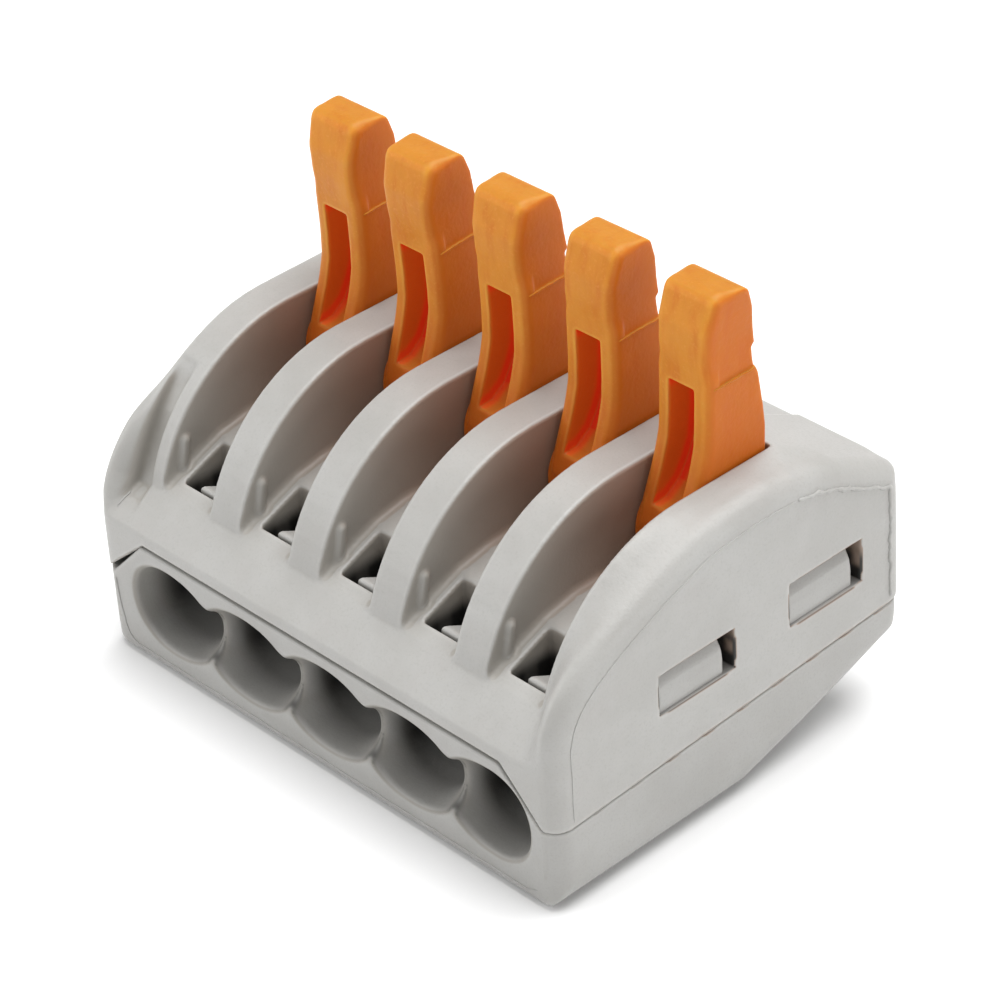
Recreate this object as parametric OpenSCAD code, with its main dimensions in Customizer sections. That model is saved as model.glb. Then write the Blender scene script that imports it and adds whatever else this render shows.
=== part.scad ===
// Five-pole lever wire connector: a two-part housing, a busbar, and for each pole
// a lever, a clamp spring and its tongue.
// Frame: origin at the middle of the underside, +X along the row of poles,
// -Y towards the wire entries (front), +Z up. Millimetres.

/* [Housing] */
// Width of the housing along the row of poles
housing_w = 28.3; // [28.1:0.1:29.1]
// Depth of the housing from the wire face to the rear wall
housing_d = 20.5; // [20.5:0.1:20.9]
// Distance from one pole to the next
pitch = 5.0; // [4.96:0.01:5.02]
// Shift of the row of poles from the middle of the housing
row_shift = 0.35; // [0.25:0.05:0.4]
// Width of the slot that a lever stands in
slot_w = 3.1; // [3.1:0.05:3.2]
// Radius of the rounded edge between the top and the side walls
edge_r = 1.0; // [0.7:0.05:1.1]

/* [Wire entries] */
// Radius of the straight bore that guides a wire
bore_r = 1.35; // [1.2:0.05:1.4]
// Radius of the funnel at the wire face
funnel_r = 2.15; // [1.9:0.05:2.2]
// Depth of the funnel before the straight bore starts
funnel_d = 3.2; // [2.6:0.1:3.6]
// Height of the wire axis above the underside
wire_z = 3.4; // [3.3:0.05:3.5]

/* [Levers] */
// Width of a lever's body
lever_w = 2.9; // [2.7:0.05:2.9]
// Width of a lever's finger end
finger_w = 2.74; // [2.5:0.02:2.76]
// Radius of the trunnions on each side of a lever
trunnion_r = 1.0; // [0.8:0.05:1.0]
// Radial clearance of a trunnion in its bore
trunnion_gap = 0.05; // [0.03:0.01:0.08]
// Width of the weight-saving groove in a lever's front
groove_w = 1.36; // [0.8:0.02:1.4]

/* [Clamp springs] */
// Thickness of the spring strip
strip_t = 0.3; // [0.2:0.02:0.3]
// Width of the spring strip
strip_w = 3.6; // [3.2:0.1:3.6]
// Width of the window that the wire passes through
cage_w = 2.8; // [2.4:0.1:2.8]

/* [Hidden] */
$fn = 64;

grey = [0.80, 0.80, 0.78];
orange = [0.90, 0.47, 0.13];
copper = [0.86, 0.80, 0.72];
steel = [0.72, 0.73, 0.75];

// In this file "depth" is the distance behind the wire face; ranges are [from, to].
half_w = housing_w / 2;
rear = housing_d;
half_slot = slot_w / 2;
row_left = pole(1) - half_slot;     // left face of the first slot
row_right = pole(5) + half_slot;    // right face of the last slot

// Lever axis and spring bend axis, as depth and height
pivot_y = 12.0;
pivot_z = 11.2;
bend_y = 16.0;
bend_z = 7.4;
// Lean of each lever towards the front from fully open, in degrees
lean = [2, 4, 2, 1, 0];

// ---- Helpers ----

// X position of pole k, k = 1 to 5
function pole(k) = row_shift + (k - 3) * pitch;
function around(x, half) = [x - half, x + half];
function polar(r, angle) = [r * cos(angle), r * sin(angle)];
function arc(centre, r, from, to, steps) =
    [for (i = [0:steps]) centre + polar(r, from + (to - from) * i / steps)];

// Line through p and q as [point, direction], moved to its left by dist
function shifted_line(p, q, dist) =
    let (dir = (q - p) / norm(q - p)) [p + [-dir[1], dir[0]] * dist, dir];
function crossing(a, b) = a[0] + a[1] * (cross(b[0] - a[0], b[1]) / cross(a[1], b[1]));
// Anticlockwise outline moved inwards by dist on every side but number kept
function inset(pts, dist, kept = -1) =
    let (n = len(pts),
         sides = [for (i = [0:n - 1])
             shifted_line(pts[i], pts[(i + 1) % n], i == kept ? 0 : dist)])
    [for (i = [0:n - 1]) crossing(sides[(i + n - 1) % n], sides[i])];

// Extrudes a (depth, height) outline over an x range
module slab(x) {
    translate([x[0], -housing_d / 2, 0]) rotate([90, 0, 90])
        linear_extrude(x[1] - x[0]) children();
}
// Extrudes an (x, height) outline over a depth range
module run_back(y) {
    translate([0, y[1] - housing_d / 2, 0]) rotate([90, 0, 0])
        linear_extrude(y[1] - y[0]) children();
}
// Extrudes a (y, z) outline to a width centred on x = 0
module centred(width) {
    rotate([90, 0, 90]) translate([0, 0, -width / 2]) linear_extrude(width) children();
}
// Box from ranges of x, depth and height
module box(x, y, z) {
    translate([x[0], y[0] - housing_d / 2, z[0]])
        cube([x[1] - x[0], y[1] - y[0], z[1] - z[0]]);
}
// Round bar over an x range, at a depth and a height
module bar(x, y, z, r) {
    translate([x[0], y - housing_d / 2, z]) rotate([0, 90, 0])
        cylinder(h = x[1] - x[0], r = r);
}
// Thin slices of an outline, drawn in by a quarter circle towards the side face x_end
module rounded_side(pts, kept, x_end) {
    for (a = [0:15:90])
        slab(around(x_end - sign(x_end) * edge_r * (1 - sin(a)), 0.005))
            polygon(inset(pts, edge_r * (1 - cos(a)), kept));
}
// Symmetric (x, height) outline with sloping shoulders
module shouldered(half_base, half_top, z_base, z_shoulder, z_top) {
    polygon([[-half_base, z_base], [half_base, z_base], [half_base, z_shoulder],
             [half_top, z_top], [-half_top, z_top], [-half_base, z_shoulder]]);
}

// ---- Upper housing: outlines as [depth, height] ----

// Right wall; side 0 is the parting line, as in left_pts
wall_pts = [[0, 4.05], [rear, 5.05], [rear - 0.02, 11.0], [rear - 0.3, 11.65],
            [14.9, 14.18], [9.4, 14.1], [7.6, 13.6], [4.8, 12.5], [2.5, 11.4],
            [1.05, 10.3], [0.3, 9.2], [0, 8.0]];
// Left wall, a little lower
left_pts = [[0, 4.05], [rear, 5.05], [rear - 0.02, 11.0], [rear - 0.3, 11.65],
            [14.9, 13.95], [9.6, 13.76], [7.9, 13.45], [6.35, 12.75], [4.55, 12.0],
            [2.65, 11.2], [1.8, 10.6], [0.85, 9.5], [0.25, 8.4], [0, 7.4]];
// Ribs between the slots, with an arc along their front
rib_arc = arc([9.4, 6.2], 8.1, 90, 164.8, 14);
core_pts = concat([[0.03, 4.08], [rear - 0.03, 5.08], [rear - 0.05, 10.98],
                   [rear - 0.33, 11.62], [14.9, 14.26]],
                  rib_arc, [[0.95, 7.83], [0.15, 7.03], [0.03, 6.88]]);
// Scoop beside the left side wall
scoop_pts = [[-1, 7.9], [1.8, 7.9], [2.25, 8.4], [2.75, 9.4], [3.5, 10.85],
             [4.1, 11.75], [4.9, 13.05], [-1, 13.3]];
// Recess on the rear slope
slope_pts = [[15.9, 13.55], [rear - 0.3, 11.44], [22, 10.5], [22, 15], [15.9, 15]];
// Open slot that the lever folds into
slot_floor_z = 9.66;
well_y = 9.75;                      // front of the well
slot_pts = [[1.5, 8.3], [3.5, 9.1], [4.9, 9.7], [6.5, 10.1], [7.8, 10.17], [8.6, 10.03],
            [9.2, 9.86], [well_y, slot_floor_z], [15, slot_floor_z],
            [15, 20], [-1, 20], [-1, 8.3]];
// Well for the lever's hub and cam
well_pts = [[well_y, 9.2], [15.65, 9.2], [15.65, 13.0], [15, 13.0], [15, 11], [well_y, 11]];
chamber_half_w = 1.9;
chamber_y = 6.45;                   // front of the spring chambers
chamber_pts = [[chamber_y, 3], [18.75, 3], [18.75, 9.35], [well_y, 9.35],
               [7.4, 9.45], [chamber_y, 8.4]];
cavity_rear = 18.95;
skin = 1.1;                         // thickness of the side skin beside the latch walls
// Latch windows as [depth range, height range]
latch_windows = [[[5.96, 10.24], [6.81, 8.73]], [[13.51, 17.81], [7.04, 9.12]]];

module upper_block() {
    slab([-half_w + edge_r + 0.005, row_right + 0.05]) polygon(core_pts);
    hull() rounded_side(left_pts, 0, -half_w);
    hull() {
        slab([row_right - 0.1, row_right - 0.09]) polygon(inset(core_pts, 0.02));
        slab([row_right + 0.3, row_right + 0.31]) polygon(inset(wall_pts, 0.12, 0));
        rounded_side(wall_pts, 0, half_w);
    }
}

// Room for the lower housing and the busbar
module underside_cuts() {
    pocket_y = [4.9, cavity_rear];
    pocket_z = [3, 9.75];
    inner_x = half_w - skin;
    // opening at the wire face that the lower shell fills
    run_back([-1.5, 6.5]) shouldered(13.5, 11.15, 3, 4.05, 6.2);
    // space for the busbar and the partitions
    box([-inner_x, inner_x], [chamber_y, cavity_rear], [3, 6.35]);
    // pockets for the latch walls
    box([inner_x - 0.8, inner_x], pocket_y, pocket_z);
    box([-inner_x, -inner_x + 0.75], pocket_y, pocket_z);
}

module pole_cuts(x) {
    slab(around(x, half_slot)) polygon(slot_pts);
    slab(around(x, half_slot)) polygon(well_pts);
    slab(around(x, chamber_half_w)) polygon(chamber_pts);
    // window in the slot floor
    box([x - 0.95, x + 1.45], [2.4, 4.65], [6, 9.9]);
}

module trunnion_bore(x) {
    bar(x, pivot_y, pivot_z, trunnion_r + trunnion_gap);
}
module trunnion_bores() {
    overlap = 0.1;
    end_depth = 1.0;
    for (k = [1:4])
        trunnion_bore([pole(k) + half_slot - overlap, pole(k + 1) - half_slot + overlap]);
    trunnion_bore([row_left - end_depth, row_left + overlap]);
    trunnion_bore([row_right - overlap, row_right + end_depth]);
}

module latch_window_cuts() {
    inner_x = half_w - skin - 0.1;
    outer_x = half_w + 1;
    for (x = [[-outer_x, -inner_x], [inner_x, outer_x]], window = latch_windows)
        box(x, window[0], window[1]);
}

module upper_housing() color(grey) {
    difference() {
        upper_block();
        underside_cuts();
        slab([-half_w + edge_r + 0.25, row_left - 0.75]) polygon(scoop_pts);
        slab([-8.4, 8.4]) polygon(slope_pts);
        for (k = [1:5]) pole_cuts(pole(k));
        trunnion_bores();
        latch_window_cuts();
    }
    // small ridges that hold a closed lever
    for (k = [1:5])
        translate([pole(k) - half_slot - 0.03, 3.1 - housing_d / 2, 8.7])
            cylinder(h = 1.75, r = 0.2, $fn = 24);
}

// ---- Lower housing: outlines as [depth, height] ----

// Side outline of the shell; side 7 is the parting line
base_pts = [[0.4, 0], [11, 0], [14.5, 0.95], [18.2, 2.12], [rear - 0.6, 2.7],
            [rear - 0.13, 3.5], [rear - 0.05, 4.3], [rear - 0.05, 4.97],
            [0.05, 3.97], [0.05, 0.4]];
hollow_pts = [[6.4, 1.2], [10.9, 1.2], [14.6, 2.2], [18.0, 3.4], [18.8, 4.4],
              [18.8, 8], [6.4, 8]];
// Partition between the spring chambers, stepped for the busbar
partition_pts = [[6.3, 0.9], [11, 0.9], [14.8, 1.9], [18.9, 3.6], [18.9, 4.8], [17.5, 6.3],
                 [14.8, 6.3], [14.8, 5.2], [8.9, 5.2], [8.9, 6.13], [6.3, 6.13]];
partition_w = 1.0;
bore_l = 6.7;
latch_x = half_w - 1.15;            // outer face of the latch walls
// Latch noses as [depth range, height range]
latch_noses = [[[6.01, 9.5], [6.87, 8.66]], [[13.56, 17.1], [7.1, 9.05]]];
// Nose profile: [reach from the latch wall, fraction of the nose's height]
nose_pts = [[-0.1, 0], [0.92, 0], [0.92, 0.4], [0.84, 0.62],
            [0.62, 0.82], [0.35, 0.94], [-0.1, 1]];

module lower_block() {
    hull() {
        rounded_side(base_pts, 7, -half_w + 0.05);
        rounded_side(base_pts, 7, half_w - 0.05);
    }
    // block around the wire entries
    run_back([0.05, 6.4]) shouldered(13.42, 11.1, 2, 4.02, 6.13);
}

module wire_entry(x) {
    translate([x, -housing_d / 2, wire_z]) rotate([-90, 0, 0]) {
        cylinder(h = funnel_d, r1 = funnel_r, r2 = bore_r);
        translate([0, 0, -0.1]) cylinder(h = bore_l, r = bore_r);
    }
}

// Nose on the latch wall at side -1 (left) or 1 (right)
module latch_nose(side, y, z) {
    run_back(y) polygon([for (p = nose_pts)
        [side * (latch_x + p[0]), z[0] + p[1] * (z[1] - z[0])]]);
}

module latches() {
    wall_y = [5.2, 18.6];
    wall_z = [3.5, 9.6];
    box([half_w - 1.86, latch_x], wall_y, wall_z);
    box([-latch_x, -half_w + 1.81], wall_y, wall_z);
    for (side = [-1, 1], nose = latch_noses) latch_nose(side, nose[0], nose[1]);
}

module lower_housing() color(grey) {
    difference() {
        lower_block();
        slab([-half_w + 1.8, half_w - 1.85]) polygon(hollow_pts);
        // joined mouths of the funnels
        box([pole(1), pole(5)], [-0.5, 1.1], [2.35, 4.4]);
        for (k = [1:5]) wire_entry(pole(k));
        // pockets under the slot windows
        for (k = [1:5]) box([pole(k) - 0.9, pole(k) - 0.25], [2.5, 4.6], [5.3, 7]);
    }
    for (k = [1:4])
        slab(around(pole(k) + pitch / 2, partition_w / 2)) polygon(partition_pts);
    latches();
    // upstands in the slot windows
    for (k = [1:5]) box([pole(k) - 0.2, pole(k) + 1.4], [2.5, 4.4], [6.0, 8.3]);
}

// ---- Busbar ----

grip_first_y = 10.2;
grip_pitch = 0.8;

module busbar() color(copper) difference() {
    box([-12.2, 12.1], [9.0, 14.7], [5.22, 6.3]);
    // gripping grooves in the underside, across each wire
    for (k = [1:5], j = [0:2])
        bar(around(pole(k), 1.3), grip_first_y + grip_pitch * j, 5.2, 0.16);
}

// ---- Levers: outlines as [y, z] about the lever axis, fully open ----

lever_pts = [[-1.98, -0.3], [-1.98, 0.6], [-1.76, 1.25], [-1.46, 2.0], [-1.05, 3.0],
             [-0.85, 3.6], [-0.66, 4.3], [-0.57, 5.45], [-0.54, 6.4], [-0.51, 7.4],
             [-0.56, 8.5], [-0.52, 9.6], [-0.12, 10.8], [0.1, 11.05], [0.45, 11.12],
             [1.62, 10.98], [1.85, 10.8], [2.12, 9.9], [2.3, 8.12], [2.12, 7.96],
             [2.2, 7.15], [2.38, 6.75], [2.62, 5.15], [2.73, 4.13], [2.69, 2.92],
             [2.3, 1.4], [1.85, 0.3], [0, 0]];
groove_pts = [[-4, 1.35], [-0.9, 1.5], [-0.1, 2.0], [0.4, 2.75], [0.8, 3.6], [0.98, 4.7],
              [1.08, 5.7], [1.08, 6.5], [0.95, 6.9], [-4, 6.9]];
hub_r = 2.0;
cam_r = 0.8;
cam_angle = -90 + 25.3;
cam_centre = polar(2.59, cam_angle);
trunnion_l = 0.8;

// Part of the lever outline between two heights
module lever_part(z0, z1) intersection() {
    polygon(lever_pts);
    translate([-4, z0]) square([8, z1 - z0]);
}

// Cam that pushes the spring tongue down, with the web that joins it to the hub
module cam() {
    upper = cam_angle + 50;
    lower = cam_angle - 50;
    translate(cam_centre) circle(cam_r);
    polygon([polar(hub_r, upper), [0, 0], polar(hub_r, lower),
             cam_centre + polar(cam_r, lower), cam_centre, cam_centre + polar(cam_r, upper)]);
}

module lever(k) color(orange)
    translate([pole(k), pivot_y - housing_d / 2, pivot_z]) rotate([lean[k - 1], 0, 0])
        difference() {
            union() {
                centred(lever_w) {
                    lever_part(-4, 7.03);
                    circle(hub_r);
                    cam();
                }
                // narrower finger end above a small step
                centred(finger_w) lever_part(6.5, 12.5);
                translate([-lever_w / 2 - trunnion_l, 0, 0]) rotate([0, 90, 0])
                    cylinder(h = lever_w + 2 * trunnion_l, r = trunnion_r);
            }
            centred(groove_w) polygon(groove_pts);
        }

// ---- Clamp springs: outlines as [y, z] about the bend axis ----

bend_r = 0.9;                       // to the middle of the strip
foot_l = 6.7;
tongue_l = 8.0;
leg_l = 5.5;
// Tongue angle with the lever fully open, and its change per degree of lean
tongue_angle = 10.3;
follow = 0.175;

// Flat strip seen from the side
module strip(from, to) {
    dir = (to - from) / norm(to - from);
    side = [-dir[1], dir[0]] * strip_t / 2;
    polygon([from + side, from - side, to - side, to + side]);
}
// Part of the bend between two angles
module bend(from, to) intersection() {
    difference() {
        circle(bend_r + strip_t / 2);
        circle(bend_r - strip_t / 2);
    }
    polygon(concat([[0, 0]], arc([0, 0], 2, from, to, 6)));
}

// Fixed lower half of a spring
module clamp_spring(k) color(steel)
    translate([pole(k), bend_y - housing_d / 2, bend_z]) centred(strip_w) {
        bend(-92, -22);
        strip([-foot_l, -bend_r], [0.02, -bend_r]);
    }

// Moving upper half, with a leg at its front end
module clamp_tongue(k) color(steel)
    translate([pole(k), bend_y - housing_d / 2, bend_z])
        rotate([tongue_angle - follow * lean[k - 1], 0, 0]) difference() {
            centred(strip_w) {
                bend(-tongue_angle + 2, 92);
                strip([-tongue_l, bend_r], [0.02, bend_r]);
                strip([-tongue_l, bend_r - leg_l], [-tongue_l, bend_r + strip_t / 2]);
            }
            // window that the wire passes through
            translate([-cage_w / 2, -tongue_l - 1, bend_r - leg_l + 0.6])
                cube([cage_w, 2, leg_l - 1.6]);
        }

upper_housing();
lower_housing();
busbar();
lever(1);  // lever_1
lever(2);  // lever_2
lever(3);  // lever_3
lever(4);  // lever_4
lever(5);  // lever_5
clamp_spring(1);  // clamp_spring_1
clamp_spring(2);  // clamp_spring_2
clamp_spring(3);  // clamp_spring_3
clamp_spring(4);  // clamp_spring_4
clamp_spring(5);  // clamp_spring_5
clamp_tongue(1);  // clamp_tongue_1
clamp_tongue(2);  // clamp_tongue_2
clamp_tongue(3);  // clamp_tongue_3
clamp_tongue(4);  // clamp_tongue_4
clamp_tongue(5);  // clamp_tongue_5
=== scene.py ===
# Five-pole lever wire connector: two grey shells, five orange levers standing open,
# spring clamps and a current bar, built round the CAD frame.
# x runs across the poles, y from the wire face to the rear, z up, with the underside at z = 0.
# Shapes are worked out in mm as (x, depth, z), where depth is 0 at the wire face, and
# turned into metres when a mesh is made. Each is a signed distance field, negative inside.
import copy
import math
from functools import cached_property
import bpy
import numpy as np
from mathutils import Matrix, Vector

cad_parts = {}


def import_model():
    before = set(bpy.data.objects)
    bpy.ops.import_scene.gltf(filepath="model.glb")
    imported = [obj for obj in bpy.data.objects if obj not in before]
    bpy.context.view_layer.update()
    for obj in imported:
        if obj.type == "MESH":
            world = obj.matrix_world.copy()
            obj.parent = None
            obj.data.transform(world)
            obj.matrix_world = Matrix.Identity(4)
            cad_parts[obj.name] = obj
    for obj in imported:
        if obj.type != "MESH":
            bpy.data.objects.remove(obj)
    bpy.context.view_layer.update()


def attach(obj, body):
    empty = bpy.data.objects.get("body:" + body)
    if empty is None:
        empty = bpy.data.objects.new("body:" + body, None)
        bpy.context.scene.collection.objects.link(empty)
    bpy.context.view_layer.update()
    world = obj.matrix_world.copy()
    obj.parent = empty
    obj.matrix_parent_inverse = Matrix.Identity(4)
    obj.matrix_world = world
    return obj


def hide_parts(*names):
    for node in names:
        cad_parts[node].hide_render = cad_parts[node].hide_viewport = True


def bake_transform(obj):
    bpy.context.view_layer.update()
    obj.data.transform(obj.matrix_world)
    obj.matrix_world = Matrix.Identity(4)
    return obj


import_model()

HALF_DEPTH = 10.25                 # scene y = depth - HALF_DEPTH
HALF_WIDTH = 14.15
REAR = 20.6                        # depth of the rear face
PITCH = 5.0
POLES = [round(-9.65 + PITCH * k, 2) for k in range(5)]
SLOT = 1.55                        # half width of a lever slot
SLOT_LEFT, SLOT_RIGHT = POLES[0] - SLOT, POLES[-1] + SLOT
AXIS_DEPTH, AXIS_Z = 12.0, 11.2    # lever axis
BEND_DEPTH, BEND_Z = 16.0, 7.4     # spring bend axis
# each lever: lean to the wire face and tilt to -x in degrees, set of the tip to -x and lift in mm
LEVER_PLAY = [(2, 0, 0.33, 0.4), (4, 0, 0.26, 0.55), (2, 0, 0.33, 0.4), (1, 0.5, 0, 0.25),
              (0, 0, 0, 0)]
SPRING_ANGLE, SPRING_FOLLOW = 10.3, 0.175    # tongue angle, and its drop for each degree of lean

# grid steps
HOUSING_STEP = 0.1
LEVER_STEP = 0.06
CAGE_STEP = 0.07
BAR_STEP = 0.1
MARGIN = 0.7                       # grid worked on round each shape


# ---------------------------------------------------------------- distances and outlines
def smooth_min(one, two, blend):
    if not blend:
        return np.minimum(one, two)
    near = np.maximum(blend - np.abs(one - two), 0) / blend
    return np.minimum(one, two) - near * near * (blend * 0.25)


def smooth_max(one, two, blend):
    return -smooth_min(-one, -two, blend)


def span(x, low, high):
    """Distance along one axis to the slab from low to high."""
    return np.maximum(low - x, x - high)


def ease(x):
    x = np.clip(x, 0, 1)
    return x * x * (3 - 2 * x)


def unit(vectors):
    return vectors / np.maximum(np.linalg.norm(vectors, axis=1, keepdims=True), 1e-6)


def polygon(outline, y, z):
    """Signed distance to an outline in a plane, for broadcastable coordinates."""
    outline = np.asarray(outline, float)
    y, z = np.asarray(y, float), np.asarray(z, float)
    shape = np.broadcast(y, z).shape
    nearest, sign = np.full(shape, 1e9), np.ones(shape)
    for start, end in zip(outline, np.roll(outline, 1, 0)):
        side = end - start
        from_y, from_z = y - start[0], z - start[1]
        along = np.clip((from_y * side[0] + from_z * side[1]) / (side @ side), 0, 1)
        off_y, off_z = from_y - side[0] * along, from_z - side[1] * along
        nearest = np.minimum(nearest, off_y * off_y + off_z * off_z)
        above, below = z >= start[1], z < end[1]
        left = side[0] * from_z > side[1] * from_y
        sign = np.where((above & below & left) | (~above & ~below & ~left), -sign, sign)
    return (sign * np.sqrt(nearest)).astype(np.float32)


def round_corners(outline, sharp):
    """Cuts every corner twice, except the corners whose index is in sharp."""
    corners = [(np.array(point, float), i in sharp) for i, point in enumerate(outline)]
    for _ in range(2):
        rounded = []
        for i, (point, keep) in enumerate(corners):
            if keep:
                rounded.append((point, True))
                continue
            for other in (corners[i - 1][0], corners[(i + 1) % len(corners)][0]):
                rounded.append((point + (other - point) * 0.25, False))
        corners = rounded
    return np.array([point for point, _ in corners])


def soften(outline, length, keep):
    """Cuts each corner over a short length, except the corners in keep."""
    points = [np.array(point, float) for point in outline]
    out = []
    for i, point in enumerate(points):
        if i in keep:
            out.append(point)
            continue
        ends = []
        for other in (points[i - 1], points[(i + 1) % len(points)]):
            side = np.linalg.norm(other - point)
            ends.append(point + (other - point) / side * min(length, 0.35 * side))
        out += [ends[0], 0.25 * ends[0] + 0.5 * point + 0.25 * ends[1], ends[1]]
    return np.array(out)


def arc(centre, radius, start, end, count):
    angles = np.radians(np.linspace(start, end, count + 1))
    return [[centre[0] + radius * math.cos(angle), centre[1] + radius * math.sin(angle)]
            for angle in angles]


def cross(one, two):
    return one[0] * two[1] - one[1] * two[0]


def inset(outline, distance):
    """Outline moved in by distance on every side."""
    outline = np.asarray(outline, float)
    sides = []
    for start, end in zip(outline, np.roll(outline, -1, 0)):
        along = (end - start) / np.linalg.norm(end - start)
        sides.append((start + np.array([-along[1], along[0]]) * distance, along))
    corners = []
    for i, (point, along) in enumerate(sides):
        last, last_along = sides[i - 1]
        reach = cross(point - last, along) / cross(last_along, along)
        corners.append(last + last_along * reach)
    return np.array(corners)


class Field:
    """Signed distances on a regular grid. Shapes take add or cut as their first argument."""

    def __init__(self, low, high, step):
        self.step, self.low = step, np.array(low, float)
        counts = np.ceil((np.array(high) - self.low) / step).astype(int) + 1
        self.axes = [(start + step * np.arange(count)).astype(np.float32)
                     for start, count in zip(self.low, counts)]
        self.values = np.full(tuple(counts), 3.0, np.float32)

    def block(self, *spans):
        """Slices and coordinates of the grid round three (low, high) spans."""
        cells = []
        for axis, start, (low, high) in zip(self.axes, self.low, spans):
            first = max(0, math.floor((low - MARGIN - start) / self.step))
            last = min(len(axis), math.ceil((high + MARGIN - start) / self.step) + 1)
            cells.append(slice(first, last))
        return tuple(cells), np.ix_(*[axis[part] for axis, part in zip(self.axes, cells)])

    def add(self, cells, shape, blend=0.0):
        self.values[cells] = smooth_min(self.values[cells], shape.astype(np.float32), blend)

    def cut(self, cells, shape, blend=0.0):
        self.values[cells] = smooth_max(self.values[cells], -shape.astype(np.float32), blend)

    def box(self, op, xs, ys, zs, blend=0.0, edge=0.0):
        cells, (x, y, z) = self.block(xs, ys, zs)
        sides = smooth_max(span(x, *xs), span(y, *ys), edge)
        op(cells, smooth_max(sides, span(z, *zs), edge), blend)

    def prism_x(self, op, outline, xs, blend=0.0, edge=0.0):
        """(depth, z) outline run along x."""
        ys, zs = zip(np.min(outline, 0), np.max(outline, 0))
        cells, (x, y, z) = self.block(xs, ys, zs)
        op(cells, smooth_max(span(x, *xs), polygon(outline, y[0], z[0])[None], edge), blend)

    def prism_y(self, op, outline, ys, blend=0.0, edge=0.0):
        """(x, z) outline run along the depth."""
        xs, zs = zip(np.min(outline, 0), np.max(outline, 0))
        cells, (x, y, z) = self.block(xs, ys, zs)
        flat = polygon(outline, x[:, 0], z[0])[:, None, :]
        op(cells, smooth_max(span(y, *ys), flat, edge), blend)

    def rod(self, op, xs, depth, height, radius, blend):
        """Round bar along x."""
        cells, (x, y, z) = self.block(xs, (depth - radius, depth + radius),
                                      (height - radius, height + radius))
        ring = np.sqrt((y - depth) ** 2 + (z - height) ** 2) - radius
        op(cells, np.maximum(span(x, *xs), ring), blend)

    def sample(self, points):
        """Trilinear value at the points."""
        place = (points - self.low) / self.step
        cell = np.clip(np.floor(place).astype(int), 0, np.array(self.values.shape) - 2)
        part = (place - cell).astype(np.float32)
        total = 0
        for i in (0, 1):
            weight_x = part[:, 0] if i else 1 - part[:, 0]
            for j in (0, 1):
                weight_y = part[:, 1] if j else 1 - part[:, 1]
                for k in (0, 1):
                    weight_z = part[:, 2] if k else 1 - part[:, 2]
                    corner = self.values[cell[:, 0] + i, cell[:, 1] + j, cell[:, 2] + k]
                    total = total + weight_x * weight_y * weight_z * corner
        return total

    def gradient(self, points, reach=None):
        reach = reach or self.step
        rises = [self.sample(points + off) - self.sample(points - off)
                 for off in np.eye(3) * reach]
        return np.stack(rises, 1) / (2 * reach)

    def settle(self, points, sideways=False):
        """Points moved onto the surface, or only along x to it, and their normals."""
        points = np.array(points, float)
        for _ in range(8):
            gap, slope = self.sample(points), self.gradient(points)
            if sideways:
                move = gap / np.maximum(np.abs(slope[:, 0]), 0.3) * np.sign(slope[:, 0])
                points[:, 0] -= np.clip(move, -0.1, 0.1)
            else:
                steep = np.maximum((slope * slope).sum(1), 0.3)
                points -= slope * (np.clip(gap, -0.2, 0.2) / steep)[:, None]
        return points, unit(self.gradient(points))

    def surface(self):
        """Closed quad mesh of the zero level, with one vertex in each cell it crosses."""
        closed = copy.copy(self)
        closed.values = values = self.values.copy()
        for axis in range(3):
            for end in (0, -1):
                rim = np.moveaxis(values, axis, 0)[end]
                np.maximum(rim, 0.05, out=rim)
        values[values == 0] = 1e-6
        inside = values < 0
        cell_counts = np.array(values.shape) - 1
        ids, points, quads = [], [], []
        for axis in range(3):
            index = np.argwhere(np.diff(inside, axis=axis))
            beyond = index.copy()
            beyond[:, axis] += 1
            before, after = values[tuple(index.T)], values[tuple(beyond.T)]
            crossing = index.astype(float)
            crossing[:, axis] += before / (before - after)
            corners = []
            for back in ((0, 0), (1, 0), (1, 1), (0, 1)):
                cell = index.copy()
                cell[:, [(axis + 1) % 3, (axis + 2) % 3]] -= back
                corners.append(np.ravel_multi_index(tuple(cell.T), tuple(cell_counts)))
            ids += corners
            points += [crossing] * 4
            quad = np.stack(corners, 1)
            leaving = before < 0
            quad[leaving] = quad[leaving][:, ::-1]
            quads.append(quad)
        points = np.concatenate(points)
        used, owner = np.unique(np.concatenate(ids), return_inverse=True)
        shared = np.bincount(owner)
        points = np.stack([np.bincount(owner, points[:, i]) / shared for i in range(3)], 1)
        points = points * self.step + self.low
        base = np.stack(np.unravel_index(used, tuple(cell_counts)), 1) * self.step + self.low
        for _ in range(2):                 # onto the surface, without leaving the cell
            gap = closed.sample(points)
            slope = closed.gradient(points, self.step * 0.5)
            steep = np.maximum((slope * slope).sum(1), 0.3)
            points = np.clip(points - slope * (gap / steep)[:, None],
                             base + 0.02 * self.step, base + 0.98 * self.step)
        return points, np.searchsorted(used, np.concatenate(quads))


# ---------------------------------------------------------------- meshes
def mesh_object(name, points, quads, material):
    points = (np.asarray(points, float) - (0, HALF_DEPTH, 0)) * 0.001
    mesh = bpy.data.meshes.new(name)
    mesh.vertices.add(len(points))
    mesh.vertices.foreach_set("co", points.astype(np.float32).ravel())
    mesh.loops.add(quads.size)
    mesh.loops.foreach_set("vertex_index", quads.astype(np.int32).ravel())
    mesh.polygons.add(len(quads))
    mesh.polygons.foreach_set("loop_start", (np.arange(len(quads)) * 4).astype(np.int32))
    mesh.update(calc_edges=True)
    mesh.validate()
    mesh.polygons.foreach_set("use_smooth", np.ones(len(mesh.polygons), bool))
    obj = bpy.data.objects.new(name, mesh)
    bpy.context.scene.collection.objects.link(obj)
    mesh.materials.append(material)
    return obj


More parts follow.
